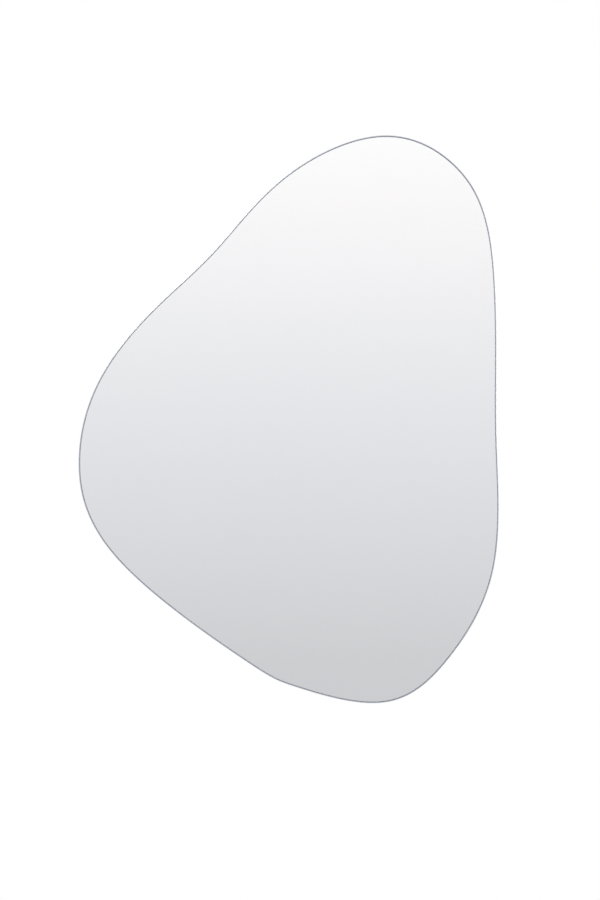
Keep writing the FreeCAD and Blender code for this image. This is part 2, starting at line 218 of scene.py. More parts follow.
def makeGroundEdge():
    # the ground and polished rim: a fine blue-grey line from the front, with painted shade that darkens it
    # towards the silvered back
    look = {"main": screenTone(166, 172, 184), "other": screenTone(163, 169, 182), "patch": 0.02,
            "paintedShade": screenTone(112, 127, 137), "shadeFrom": 0.0014, "shadeTo": 0.0034,
            "lineWidth": 0.0005, "lineDepth": 0.000006, "lineTone": screenTone(176, 186, 194),
            "lineShare": 0.25, "squeeze": (0.01, 1, 0.01), "polished": 0.12, "satin": 0.26}
    edge, tree, shader, place = newMaterial("groundEdge", **{"IOR": 1.52, "Coat Weight": 0.8,
                                                             "Coat Roughness": 0.05})
    tones = useGroup(tree, mottle, Place=place, Patch=look["patch"], Main=look["main"], Other=look["other"])
    lines = useGroup(tree, streaks, Place=place, Squeeze=look["squeeze"], Width=look["lineWidth"])
    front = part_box("mirror_glass")[0].y
    depth = addNode(tree, "SeparateXYZ", {0: place}).outputs["Y"]
    # share towards the back: it blends in the painted shade and lets the ground lines show
    inside = rescale(tree, depth, front + look["shadeFrom"], front + look["shadeTo"], 0, 1, "SMOOTHSTEP")
    color = mixTones(tree, inside, tones["Color"], look["paintedShade"])
    ground = reckon(tree, "MULTIPLY", reckon(tree, "MULTIPLY", lines["Mask"], inside), look["lineShare"])
    tree.links.new(mixTones(tree, ground, color, look["lineTone"]), shader["Base Color"])
    tree.links.new(rescale(tree, lines["Mask"], 0, 1, look["polished"], look["satin"]), shader["Roughness"])
    tree.links.new(bump(tree, lines["Height"], look["lineDepth"]), shader["Normal"])
    return edge


def makeSilver():
    look = {"main": (0.99, 0.99, 0.992, 1), "other": (0.985, 0.985, 0.988, 1), "patch": 0.15,
            "hazeFrom": 0.55, "hazeTo": 0.8, "bright": 0.0, "hazed": 0.006}
    silver, tree, shader, place = newMaterial("silver", **{"Metallic": 1.0})
    tones = useGroup(tree, mottle, Place=place, Patch=look["patch"], Main=look["main"], Other=look["other"])
    tree.links.new(tones["Color"], shader["Base Color"])
    haze = noise(tree, place, look["patch"])
    hazes = rescale(tree, haze, look["hazeFrom"], look["hazeTo"], look["bright"], look["hazed"])
    tree.links.new(hazes, shader["Roughness"])
    return silver


def makeBackPaint():
    look = {"main": screenTone(128, 133, 139), "other": screenTone(118, 123, 130), "patch": 0.02,
            "peelSize": 0.0012, "peelDepth": 0.00003, "roughness": (0.38, 0.5)}
    paint, tree, shader, place = newMaterial("backPaint")
    tones = useGroup(tree, mottle, Place=place, Patch=look["patch"], Main=look["main"], Other=look["other"])
    peel = noise(tree, place, look["peelSize"])
    tree.links.new(tones["Color"], shader["Base Color"])
    tree.links.new(rescale(tree, tones["Mask"], 0, 1, *look["roughness"]), shader["Roughness"])
    tree.links.new(bump(tree, peel, look["peelDepth"]), shader["Normal"])
    return paint


def makeSafetyFilm():
    # flat tapes woven over and under each other and laminated, so the weave shows as low relief, with painted
    # shade where the tapes meet
    look = {"main": screenTone(214, 216, 219), "gapShade": screenTone(194, 197, 202), "tape": 0.0026,
            "crown": 0.36, "relief": 0.00006, "roughness": (0.6, 0.42), "dirt": screenTone(203, 204, 204),
            "dirtPatch": 0.05}
    film, tree, shader, place = newMaterial("safetyFilm", **{"Coat Weight": 0.15, "Coat Roughness": 0.3})
    counts = addNode(tree, "VectorMath", {0: place, 3: 1 / look["tape"]}, operation="SCALE").outputs[0]
    across = addNode(tree, "SeparateXYZ", {0: counts}).outputs
    crowns = {}
    for axis in "XZ":
        share = reckon(tree, "FRACT", across[axis])
        offset = reckon(tree, "ABSOLUTE", reckon(tree, "SUBTRACT", share, 0.5))
        crowns[axis] = rescale(tree, offset, look["crown"], 0.5, 1, 0, "SMOOTHSTEP")
    steps = [reckon(tree, "FLOOR", across[axis]) for axis in "XZ"]
    over = reckon(tree, "FLOORED_MODULO", reckon(tree, "ADD", *steps), 2)
    relief = reckon(tree, "ADD", reckon(tree, "MULTIPLY", crowns["X"], over),
                    reckon(tree, "MULTIPLY", crowns["Z"], reckon(tree, "SUBTRACT", 1, over)))
    dirt = useGroup(tree, mottle, Place=place, Patch=look["dirtPatch"], Main=look["main"], Other=look["dirt"])
    # the tapes darken towards their edges: painted shade between the tapes
    tree.links.new(mixTones(tree, relief, look["gapShade"], dirt["Color"]), shader["Base Color"])
    tree.links.new(rescale(tree, relief, 0, 1, *look["roughness"]), shader["Roughness"])
    tree.links.new(bump(tree, relief, look["relief"]), shader["Normal"])
    return film


def makeFoam():
    look = {"main": screenTone(236, 236, 232), "other": screenTone(228, 227, 220), "patch": 0.02,
            "poreShade": screenTone(216, 216, 210), "cell": 0.0005, "poreShare": 0.8, "poreDepth": 0.0001}
    foam, tree, shader, place = newMaterial("foamTape", **{"Roughness": 0.85, "Subsurface Weight": 0.1,
                                                           "Subsurface Scale": 0.002})
    tones = useGroup(tree, mottle, Place=place, Patch=look["patch"], Main=look["main"], Other=look["other"])
    pores = useGroup(tree, specks, Place=place, Cell=look["cell"], Share=look["poreShare"])
    # the pores are painted darker: painted shade in the dents
    tree.links.new(mixTones(tree, pores["Mask"], tones["Color"], look["poreShade"]), shader["Base Color"])
    dents = reckon(tree, "SUBTRACT", 1, pores["Mask"])
    tree.links.new(bump(tree, dents, look["poreDepth"]), shader["Normal"])
    return foam


def makeAdhesive():
    look = {"main": screenTone(214, 213, 207), "other": screenTone(203, 201, 193), "patch": 0.012,
            "ripple": 0.004, "rippleDepth": 0.0002, "roughness": (0.32, 0.5)}
    adhesive, tree, shader, place = newMaterial("adhesive", **{"Subsurface Weight": 0.15,
                                                               "Subsurface Scale": 0.003})
    tones = useGroup(tree, mottle, Place=place, Patch=look["patch"], Main=look["main"], Other=look["other"])
    tree.links.new(tones["Color"], shader["Base Color"])
    tree.links.new(rescale(tree, tones["Mask"], 0, 1, *look["roughness"]), shader["Roughness"])
    tree.links.new(bump(tree, noise(tree, place, look["ripple"]), look["rippleDepth"]), shader["Normal"])
    return adhesive


def makeBoardFace():
    # sanded fibreboard: pressed fibres lying every way, coarse ones under fine ones, with a few specks
    look = {"main": screenTone(187, 156, 120), "other": screenTone(178, 147, 111), "patch": 0.05,
            "strand": screenTone(168, 137, 101), "fibre": screenTone(206, 179, 146),
            "turns": (12, 74, 131), "squeeze": (0.12, 1, 1), "bendSize": 0.006, "bend": 0.005,
            "layers": ((0.0013, "strand", 0.42), (0.0004, "fibre", 0.32)),
            "speck": screenTone(132, 102, 72), "speckCell": 0.0016, "speckShare": 0.07, "speckMix": 0.4,
            "speckStretch": (0.6, 1, 1), "relief": 0.00003, "roughness": (0.72, 0.6)}
    board, tree, shader, place = newMaterial("boardFace")
    tones = useGroup(tree, mottle, Place=place, Patch=look["patch"], Main=look["main"], Other=look["other"])
    color = tones["Color"]
    bends = addNode(tree, "TexNoise", {"Vector": place, "Scale": 1 / look["bendSize"], "Detail": 1})
    bent = addNode(tree, "VectorMath", {0: bends.outputs["Color"], 1: (look["bend"],) * 3, 2: place},
                   operation="MULTIPLY_ADD").outputs[0]
    for width, tint, strength in look["layers"]:
        mask, height = 0.0, 0.0
        for degrees in look["turns"]:
            turned = addNode(tree, "Mapping", {"Vector": bent, "Rotation": (0, math.radians(degrees), 0)})
            fibres = useGroup(tree, streaks, Place=turned.outputs[0], Squeeze=look["squeeze"], Width=width)
            mask = reckon(tree, "MAXIMUM", mask, fibres["Mask"])
            height = reckon(tree, "ADD", height, fibres["Height"])
        color = mixTones(tree, reckon(tree, "MULTIPLY", mask, strength), color, look[tint])
    spots = useGroup(tree, specks, Place=stretch(tree, place, look["speckStretch"]), Cell=look["speckCell"],
                     Share=look["speckShare"])
    color = mixTones(tree, reckon(tree, "MULTIPLY", spots["Mask"], look["speckMix"]), color, look["speck"])
    tree.links.new(color, shader["Base Color"])
    tree.links.new(rescale(tree, mask, 0, 1, *look["roughness"]), shader["Roughness"])
    tree.links.new(bump(tree, height, look["relief"]), shader["Normal"])
    return board


def makeBoardEdge():
    # the routed edge and the drilled holes: darker, fuzzier, with the cutter's lines along the edge
    look = {"main": screenTone(158, 125, 90), "other": screenTone(141, 109, 76), "patch": 0.012,
            "fuzzWidth": 0.0004, "fuzz": 0.00012, "dark": screenTone(112, 84, 57), "fleckCell": 0.001,
            "fleckShare": 0.25, "fleckMix": 0.35, "fleckStretch": (0.4, 1, 0.4),
            "cutterSqueeze": (0.1, 1, 0.1)}
    edge, tree, shader, place = newMaterial("boardEdge", **{"Roughness": 0.9})
    tones = useGroup(tree, mottle, Place=place, Patch=look["patch"], Main=look["main"], Other=look["other"])
    flecks = useGroup(tree, specks, Place=stretch(tree, place, look["fleckStretch"]), Cell=look["fleckCell"],
                      Share=look["fleckShare"])
    cutterLines = useGroup(tree, streaks, Place=place, Squeeze=look["cutterSqueeze"], Width=look["fuzzWidth"])
    darkened = reckon(tree, "MULTIPLY", flecks["Mask"], look["fleckMix"])
    tree.links.new(mixTones(tree, darkened, tones["Color"], look["dark"]), shader["Base Color"])
    tree.links.new(bump(tree, cutterLines["Height"], look["fuzz"]), shader["Normal"])
    return edge


def makeRailMetal():
    look = {"main": screenTone(190, 191, 192), "other": screenTone(180, 181, 183), "patch": 0.012,
            "dieLine": 0.0006, "lineDepth": 0.000008, "nick": screenTone(152, 153, 156),
            "nickCell": 0.0013, "nickShare": 0.05, "nickMix": 0.3, "lineMix": 0.25, "drawn": (0.25, 1, 1),
            "squeeze": (0.008, 1, 1), "roughness": (0.3, 0.42)}
    metal, tree, shader, place = newMaterial("millAluminium", **{"Metallic": 1.0})
    drawn = stretch(tree, place, look["drawn"])
    tones = useGroup(tree, mottle, Place=drawn, Patch=look["patch"], Main=look["main"], Other=look["other"])
    lines = useGroup(tree, streaks, Place=place, Squeeze=look["squeeze"], Width=look["dieLine"])
    nicks = useGroup(tree, specks, Place=place, Cell=look["nickCell"], Share=look["nickShare"])
    lined = reckon(tree, "MULTIPLY", lines["Mask"], look["lineMix"])
    nicked = reckon(tree, "MULTIPLY", nicks["Mask"], look["nickMix"])
    color = mixTones(tree, lined, tones["Color"], look["nick"])
    color = mixTones(tree, nicked, color, look["nick"])
    tree.links.new(color, shader["Base Color"])
    tree.links.new(rescale(tree, lines["Mask"], 0, 1, *look["roughness"]), shader["Roughness"])
    tree.links.new(bump(tree, lines["Height"], look["lineDepth"]), shader["Normal"])
    return metal


def makeZinc():
    look = {"main": screenTone(190, 194, 200), "other": screenTone(196, 192, 178), "patch": 0.002,
            "grain": 0.0003, "grainDepth": 0.000006, "grainRange": (0.3, 0.7), "roughness": (0.22, 0.36)}
    zinc, tree, shader, place = newMaterial("zincPlate", **{"Metallic": 1.0})
    tones = useGroup(tree, mottle, Place=place, Patch=look["patch"], Main=look["main"], Other=look["other"])
    grain = noise(tree, place, look["grain"], detail=3)
    tree.links.new(tones["Color"], shader["Base Color"])
    tree.links.new(rescale(tree, grain, *look["grainRange"], *look["roughness"]), shader["Roughness"])
    tree.links.new(bump(tree, grain, look["grainDepth"]), shader["Normal"])
    return zinc


def makeRubber():
    look = {"main": screenTone(38, 38, 40), "other": screenTone(46, 46, 48), "patch": 0.006,
            "dust": screenTone(96, 94, 90), "dustCell": 0.0005, "dustShare": 0.1, "dustMix": 0.25,
            "scuff": screenTone(66, 65, 64), "scuffPatch": 0.0035, "scuffRange": (0.52, 0.72),
            "scuffMix": 0.6, "grain": 0.0004, "grainDepth": 0.00002, "roughness": (0.55, 0.72)}
    rubber, tree, shader, place = newMaterial("mouldedRubber")
    tones = useGroup(tree, mottle, Place=place, Patch=look["patch"], Main=look["main"], Other=look["other"])
    worn = noise(tree, place, look["scuffPatch"], detail=5, roughness=0.7)
    scuffs = rescale(tree, worn, *look["scuffRange"], 0, look["scuffMix"])
    color = mixTones(tree, scuffs, tones["Color"], look["scuff"])
    dust = useGroup(tree, specks, Place=place, Cell=look["dustCell"], Share=look["dustShare"])
    dusted = reckon(tree, "MULTIPLY", dust["Mask"], look["dustMix"])
    tree.links.new(mixTones(tree, dusted, color, look["dust"]), shader["Base Color"])
    tree.links.new(rescale(tree, tones["Mask"], 0, 1, *look["roughness"]), shader["Roughness"])
    grain = noise(tree, place, look["grain"], detail=3)
    tree.links.new(bump(tree, grain, look["grainDepth"]), shader["Normal"])
    return rubber


clearGlass, groundEdge, silver = makeClearGlass(), makeGroundEdge(), makeSilver()
backPaint, safetyFilm = makeBackPaint(), makeSafetyFilm()
foamTape, adhesive = makeFoam(), makeAdhesive()
boardFace, boardEdge = makeBoardFace(), makeBoardEdge()
railMetal, zincPlate, mouldedRubber = makeRailMetal(), makeZinc(), makeRubber()
print("finishes made:", len(bpy.data.materials))


# Stage, lamps and camera

camera = {
    "lens": 85,  # mm
    "picture": (600, 900),  # pixels
    "mirrorHeight": 568.1,  # pixels
    "mirrorMiddle": (288.7, 419.25),  # pixels from the picture's upper left corner
}

studio = {
    "floorDrop": 0.81,  # metres from the mirror's lowest point down to the floor
    "floorRadius": 9.0,
    "floorSides": 128,
    "fadeFrom": 0.6,  # the floor goes over to plain white between these distances
    "fadeTo": 1.9,
    "softLight": 0.62,
    # what the mirror shows: how far up the ray points, from -1 to 1, and the tone there;
    # the picture's own view sees about -0.12 to 0.15, and the rest is for other angles
    "reflected": [
        (-1.0, (190, 192, 197)),
        (-0.56, (204, 205, 209)),
        (-0.43, (228, 229, 232)),
        (-0.33, (250, 250, 251)),
        (-0.27, (206, 207, 211)),
        (-0.23, (199, 200, 204)),
        (-0.1, (207, 207, 210)),
        (0.02, (230, 231, 234)),
        (0.118, (252, 250, 251)),
        (0.15, (255, 255, 255)),
    ],
}

lamps = {
    # name: place, side in metres, watts, seen in reflections
    "frontLeft": ((-2.2, -2.8, 2.0), 2.0, 62, False),
    "frontRight": ((2.6, -2.4, 0.4), 2.0, 34, False),
    "rearRight": ((-1.9, 2.6, 1.9), 1.6, 66, True),
    "rearLeft": ((2.4, 2.2, 0.3), 1.6, 30, True),
}


def makeCamera():
    low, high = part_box("mirror_glass")
    middle = (low + high) / 2
    metresPerPixel = (high.z - low.z) / camera["mirrorHeight"]
    wide, tall = camera["picture"]
    column, row = camera["mirrorMiddle"]
    data = bpy.data.cameras.new("camera")
    data.lens = camera["lens"]
    holder = bpy.data.objects.new("camera", data)
    bpy.context.scene.collection.objects.link(holder)
    distance = tall * metresPerPixel * data.lens / data.sensor_width
    holder.location = (middle.x + (wide / 2 - column) * metresPerPixel, low.y - distance,
                       middle.z - (tall / 2 - row) * metresPerPixel)
    holder.rotation_euler = (math.radians(90), 0, 0)
    bpy.context.scene.camera = holder


def makeWorld():
    # the picture's ground is plain white, mirrored and refracted rays see the studio's pale tones,
    # and everything else gets plain soft light
    world = bpy.data.worlds.new("paleStudio")
    bpy.context.scene.world = world
    world.use_nodes = True
    tree = world.node_tree
    tree.nodes.clear()
    direction = addNode(tree, "TexCoord").outputs["Generated"]
    upward = addNode(tree, "SeparateXYZ", {0: direction}).outputs["Z"]
    stops = studio["reflected"]
    lowest, highest = stops[0][0], stops[-1][0]
    ramp = addNode(tree, "ValToRGB", {0: rescale(tree, upward, lowest, highest)})
    elements = ramp.color_ramp.elements
    for height, tone in stops[1:-1]:
        elements.new((height - lowest) / (highest - lowest)).color = screenTone(*tone)
    elements[0].color, elements[-1].color = screenTone(*stops[0][1]), screenTone(*stops[-1][1])
    plain = addNode(tree, "Background", {"Color": (1, 1, 1, 1), "Strength": studio["softLight"]})
    shown = addNode(tree, "Background", {"Color": ramp.outputs["Color"], "Strength": 1.0})
    white = addNode(tree, "Background", {"Color": (1, 1, 1, 1), "Strength": 1.0})
    ray = addNode(tree, "LightPath").outputs
    mirrored = reckon(tree, "MAXIMUM", ray["Is Glossy Ray"], ray["Is Transmission Ray"])
    surroundings = addNode(tree, "MixShader", {0: mirrored, 1: plain.outputs[0], 2: shown.outputs[0]})
    everything = addNode(tree, "MixShader", {0: ray["Is Camera Ray"], 1: surroundings.outputs[0],
                                             2: white.outputs[0]})
    addNode(tree, "OutputWorld", {0: everything.outputs[0]})


def makeFloor():
    low, high = cadBounds
    middle = (low + high) / 2
    look = {"main": screenTone(238, 238, 237), "other": screenTone(234, 234, 233), "patch": 0.5}
    floorPaint, tree, shader, place = newMaterial("paleFloor", **{"Roughness": 0.9})
    tones = useGroup(tree, mottle, Place=place, Patch=look["patch"], Main=look["main"], Other=look["other"])
    tree.links.new(tones["Color"], shader["Base Color"])
    flat = addNode(tree, "VectorMath", {0: place, 1: (1, 1, 0)}, operation="MULTIPLY").outputs[0]
    reach = addNode(tree, "VectorMath", {0: flat, 1: (middle.x, 0, 0)}, operation="DISTANCE").outputs["Value"]
    faded = rescale(tree, reach, studio["fadeFrom"], studio["fadeTo"], 0, 1, "SMOOTHSTEP")
    cameraRay = addNode(tree, "LightPath").outputs["Is Camera Ray"]
    white = addNode(tree, "Emission", {"Color": (1, 1, 1, 1), "Strength": 1.0})
    lit = tree.nodes["Principled BSDF"].outputs[0]
    mixed = addNode(tree, "MixShader", {0: reckon(tree, "MULTIPLY", faded, cameraRay), 1: lit,
                                        2: white.outputs[0]})
    tree.links.new(mixed.outputs[0], tree.nodes["Material Output"].inputs["Surface"])
    bm = bmesh.new()
    bmesh.ops.create_circle(bm, cap_ends=True, segments=studio["floorSides"], radius=studio["floorRadius"])
    bmesh.ops.translate(bm, verts=bm.verts[:], vec=(middle.x, 0, low.z - studio["floorDrop"]))
    floor = makeObject(bm, "floor", [floorPaint])
    floor.visible_glossy = False  # the mirror shows the plain studio
    floor.visible_transmission = False


def makeLamps():
    low, high = cadBounds
    middle = (low + high) / 2
    for name, (place, side, watts, reflected) in lamps.items():
        data = bpy.data.lights.new(name, "AREA")
        data.shape = "SQUARE"
        data.size = side
        data.energy = watts
        lamp = bpy.data.objects.new(name, data)
        bpy.context.scene.collection.objects.link(lamp)
        lamp.location = Vector(place)
        lamp.rotation_euler = (middle - lamp.location).to_track_quat("-Z", "Y").to_euler()
        lamp.visible_camera = False
        lamp.visible_glossy = reflected
        lamp.visible_transmission = False


# Meshes

samePlace = 1e-6  # metres, within which two points or levels count as one


def makeObject(bm, name, materials):
    bmesh.ops.recalc_face_normals(bm, faces=bm.faces[:])
    mesh = bpy.data.meshes.new(name)
    bm.to_mesh(mesh)
    bm.free()
    for material in materials:
        mesh.materials.append(material)
    made = bpy.data.objects.new(name, mesh)
    bpy.context.scene.collection.objects.link(made)
    return made


def mount(piece, node, sharpAngle=35):
    # the piece takes the place of its node: same body, and the node is hidden
    piece.data.shade_smooth()
    piece.data.set_sharp_from_angle(angle=math.radians(sharpAngle))
    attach(piece, frame["nodes"][node]["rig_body"])
    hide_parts(node)
    return piece


def vertsOf(made):
    return [part for part in made["geom"] if isinstance(part, bmesh.types.BMVert)]


def creases(bm, least=40):
    return [edge for edge in bm.edges if edge.is_manifold and edge.calc_face_angle() > math.radians(least)]


def soften(bm, edges, offset, segments=3):
    made = bmesh.ops.bevel(bm, geom=edges, offset=offset, offset_type="OFFSET", segments=segments,
                           profile=0.5, affect="EDGES", material=-1, clamp_overlap=True)
    return made["faces"]


def cutAway(piece, cutter, operation="DIFFERENCE"):
    # leaves a plain mesh, and the cutter's material on what it cut
    cut = piece.modifiers.new("cut", "BOOLEAN")
    cut.operation = operation
    cut.solver = "EXACT"
    cut.material_mode = "TRANSFER"
    cut.object = cutter
    graph = bpy.context.evaluated_depsgraph_get()
    whole, piece.data = piece.data, bpy.data.meshes.new_from_object(piece.evaluated_get(graph))
    piece.data.name = piece.name
    piece.modifiers.clear()
    bpy.data.meshes.remove(whole)
    bpy.data.meshes.remove(cutter.data)


def spinProfile(points, centre, steps):
    # points are distances from the axis and depths, and the axis runs front to rear through the centre
    bm = bmesh.new()
    line = [bm.verts.new((centre.x + radius, depth, centre.z)) for radius, depth in points]
    edges = [bm.edges.new(pair) for pair in zip(line, line[1:])]
    bmesh.ops.spin(bm, geom=line + edges, cent=centre, axis=(0, 1, 0), angle=math.tau, steps=steps,
                   use_merge=True)
    bmesh.ops.remove_doubles(bm, verts=bm.verts[:], dist=samePlace)
    return bm


# The mirror's edge and the layers that follow it

outline = {
    # control points of the smooth closed edge, as shares of its width and height from the middle,
    # anticlockwise from the front
    "points": [
        (0.2321, 0.5278), (-0.0314, 0.434), (-0.1739, 0.289), (-0.3172, 0.2029),
        (-0.4639, 0.0769), (-0.5179, -0.0744), (-0.4645, -0.2418), (-0.0444, -0.4566),
        (-0.0196, -0.4629), (0.2456, -0.5256), (0.3846, -0.4287), (0.5106, -0.2785),
        (0.4945, -0.0488), (0.4933, 0.0299), (0.4975, 0.3316), (0.4167, 0.4532),
    ],
    "stepsPerPoint": 32,
}


def outlineFace(inset):
    # the mirror's outline as one face in the wall's plane, drawn in by the inset
    low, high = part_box("mirror_glass")
    middle, size = (low + high) / 2, high - low
    curve = bpy.data.curves.new("outline", "CURVE")
    curve.dimensions = "3D"
    curve.resolution_u = outline["stepsPerPoint"]
    spline = curve.splines.new("NURBS")
    spline.points.add(len(outline["points"]) - 1)
    for point, (across, up) in zip(spline.points, outline["points"]):
        point.co = (middle.x + across * size.x, 0, middle.z + up * size.z, 1)
    spline.use_cyclic_u = True
    spline.order_u = 4
    holder = bpy.data.objects.new("outline", curve)
    line = bpy.data.meshes.new_from_object(holder)
    bm = bmesh.new()
    bm.from_mesh(line)
    bpy.data.meshes.remove(line)
    bpy.data.curves.remove(curve)
    face = bmesh.ops.contextual_create(bm, geom=bm.edges[:])["faces"][0]
    if inset:
        ring = bmesh.ops.inset_individual(bm, faces=[face], thickness=inset, use_even_offset=True)
        bmesh.ops.delete(bm, geom=ring["faces"], context="FACES")
    return bm


def outlineSlab(inset, front, rear):
    bm = outlineFace(inset)
    bmesh.ops.translate(bm, verts=bm.verts[:], vec=(0, front, 0))
    rearFace = bmesh.ops.extrude_face_region(bm, geom=bm.faces[:])
    bmesh.ops.translate(bm, verts=vertsOf(rearFace), vec=(0, rear - front, 0))
    bmesh.ops.recalc_face_normals(bm, faces=bm.faces[:])
    return bm


def insetOf(node):
    # how far in the layer's top edge lies from the glass's
    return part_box("mirror_glass")[1].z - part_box(node)[1].z


def finishRim(bm):
    # the two broad sides keep the first finish, and all that lies between them gets the second
    sides = sorted(bm.faces, key=lambda face: face.calc_area())[-2:]
    for face in bm.faces:
        face.material_index = 0 if face in sides else 1


def makeGlass():
    shape = {"round": 0.0015, "segments": 8}
    low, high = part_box("mirror_glass")
    bm = outlineSlab(0, low.y, high.y)
    soften(bm, creases(bm), shape["round"], shape["segments"])
    finishRim(bm)
    pane = mount(makeObject(bm, "glass_pane", [clearGlass, groundEdge]), "mirror_glass", sharpAngle=60)
    pane.modifiers.new("flatPanes", "WEIGHTED_NORMAL")


def makeCoats():
    shape = {"sunk": 0.00002}  # the silver's bright face lies just inside the glass
    for node, name, material in (("silver_coating", "silver_coat", silver),
                                 ("backing_paint", "paint_coat", backPaint),
                                 ("safety_film", "film_sheet", safetyFilm)):
        low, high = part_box(node)
        front = low.y - shape["sunk"] if node == "silver_coating" else low.y
        mount(makeObject(outlineSlab(insetOf(node), front, high.y), name, [material]), node)


bpy.context.scene.view_settings.view_transform = "Standard"
makeCamera()
makeWorld()
makeFloor()
makeLamps()
print("stage, lamps and camera ready")
makeGlass()
makeCoats()
print("glass and its coats made")


# What holds the pane to the board

def waver(amount, seed, count=4):
    # a smooth random run of 0 to amount along a length in metres, which differs from side to side
    rates = (20, 90)  # the slowest and the fastest wave, in radians for each metre
    draw = random.Random(seed)
    waves = [(draw.uniform(*rates), draw.uniform(0, math.tau)) for _ in range(count)]
    return lambda along, side: amount * (0.5 + sum(
        math.sin(along * rate + phase * side) for rate, phase in waves) / (2 * count))


def makeTape(number):
    shape = {"steps": 40, "round": 0.00025, "waver": 0.0005}
    node = f"foam_tape_{number}"
    low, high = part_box(node)
    size, middle = high - low, (low + high) / 2
    bm = bmesh.new()
    bmesh.ops.create_cube(bm, size=1, matrix=Matrix.LocRotScale(middle, None, size))
    upright = [edge for edge in bm.edges if abs(edge.verts[0].co.z - edge.verts[1].co.z) > size.z / 2]
    bmesh.ops.subdivide_edges(bm, edges=upright, cuts=shape["steps"], use_grid_fill=True)
    soften(bm, creases(bm), shape["round"], segments=2)
    cut = waver(shape["waver"], number)
    for vert in bm.verts:
        side = math.copysign(1, vert.co.x - middle.x)
        vert.co.x -= side * cut(vert.co.z, side)
    mount(makeObject(bm, f"tape_strip_{number}", [foamTape]), node)


def makeBead(number):
    # a bead of adhesive squeezed flat, with bulging, wandering sides
    shape = {"sides": 32, "layers": 6, "steps": 60, "squeeze": 0.001, "waver": 0.0016}
    node = f"adhesive_bead_{number}"
    low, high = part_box(node)
    size, middle = high - low, (low + high) / 2
    radius = size.x / 2
    bm = bmesh.new()
    facingWall = Matrix.Rotation(math.radians(90), 4, "X") @ Matrix.Rotation(math.pi / shape["sides"], 4, "Z")
    bmesh.ops.create_circle(bm, cap_ends=True, segments=shape["sides"], radius=radius, matrix=facingWall)
    rear = bmesh.ops.extrude_face_region(bm, geom=bm.faces[:])
    bmesh.ops.translate(bm, verts=vertsOf(rear), vec=(0, size.y, 0))
    across = [edge for edge in bm.edges if abs(edge.verts[0].co.y - edge.verts[1].co.y) > size.y / 2]
    bmesh.ops.subdivide_edges(bm, edges=across, cuts=shape["layers"] - 1, use_grid_fill=True)
    for vert in bm.verts:
        fromMiddle = 2 * vert.co.y / size.y - 1
        drawnIn = 1 - shape["squeeze"] / radius * fromMiddle ** 2
        vert.co.x *= drawnIn
        vert.co.z = vert.co.z * drawnIn + math.copysign(size.z / 2 - radius, vert.co.z)
    long = [edge for edge in bm.edges if edge.calc_length() > radius]
    bmesh.ops.subdivide_edges(bm, edges=long, cuts=shape["steps"], use_grid_fill=True)
    squeezed = waver(shape["waver"], number)
    for vert in bm.verts:
        side = vert.co.x / radius
        vert.co.x -= side * squeezed(vert.co.z, math.copysign(1, side))
    bmesh.ops.translate(bm, verts=bm.verts[:], vec=(middle.x, low.y, middle.z))
    mount(makeObject(bm, f"adhesive_bead_squeezed_{number}", [adhesive]), node)


# Screws, board, rails and bumpers

screw = {
    "headHeight": 0.0022,
    "headRadius": 0.0035,
    "headShape": 2.7,  # 2 is a round head, more is a flatter pan
    "headSteps": 12,
    "headSides": 48,
    "shankRadius": 0.00175,
    "coreRadius": 0.00118,
    "neckRadius": 0.00145,
    "neck": 0.0011,
    "pitch": 0.0014,
    "flankFrom": 0.46,  # shares of the pitch
    "crestFrom": 0.7,
    "crestTo": 0.76,
    "tip": 0.003,
    "blunt": 0.14,  # the point's width as a share of the shank's
    "stepsPerTurn": 24,
    "recessSpan": 0.0036,
    "recessSlot": 0.0009,
    "recessDepth": 0.0013,
    "recessTaper": 0.5,
    "pilotRadius": 0.0018,
    "pilotDepth": 0.008,
}
screwGroups = {"board_rail_screws": ("rail_screw", 4), "bumper_screws": ("bumper_screw", 2)}


def screwSeats(node):
    # where each screw's head sits: evenly spaced between the ends of the group's box
    low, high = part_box(node)
    count = screwGroups[node][1]
    first, last = low.x + screw["headRadius"], high.x - screw["headRadius"]
    return [Vector((first + (last - first) * i / (count - 1), high.y - screw["headHeight"],
                    (low.z + high.z) / 2)) for i in range(count)]


def makeShank(length):
    # one turn's profile wound round the axis into a thread, then a point below and a neck above
    pitch, core, crest = screw["pitch"], screw["coreRadius"], screw["shankRadius"]
    turns = math.floor((length - screw["neck"]) / pitch) - 1
    foot = -length
    bm = bmesh.new()
    profile = [(core, 0), (core, screw["flankFrom"]), (crest, screw["crestFrom"]), (crest, screw["crestTo"]),
               (core, 1)]
    line = [bm.verts.new((radius, foot + share * pitch, 0)) for radius, share in profile]
    edges = [bm.edges.new(pair) for pair in zip(line, line[1:])]
    steps = screw["stepsPerTurn"]
    bmesh.ops.spin(bm, geom=line + edges, cent=(0, 0, 0), axis=(0, 1, 0), angle=math.tau * turns,
                   steps=steps * turns, dvec=(0, pitch / steps, 0))
    bmesh.ops.remove_doubles(bm, verts=bm.verts[:], dist=samePlace)
    for vert in bm.verts:
        share = min((vert.co.y - foot) / screw["tip"], 1)
        narrowed = screw["blunt"] + (1 - screw["blunt"]) * share
        vert.co.x *= narrowed
        vert.co.z *= narrowed
    top = [edge for edge in bm.edges if edge.is_boundary and edge.verts[0].co.y > -length / 2]
    for depth in (-screw["neck"] / 2, screw["headHeight"] / 4):
        made = bmesh.ops.extrude_edge_only(bm, edges=top)
        for vert in vertsOf(made):
            around = Vector((vert.co.x, 0, vert.co.z)).normalized() * screw["neckRadius"]
            vert.co = (around.x, depth, around.z)
        top = [part for part in made["geom"] if isinstance(part, bmesh.types.BMEdge)]
    bmesh.ops.remove_doubles(bm, verts=bm.verts[:], dist=samePlace)
    bmesh.ops.holes_fill(bm, edges=[edge for edge in bm.edges if edge.is_boundary], sides=0)
    return bm


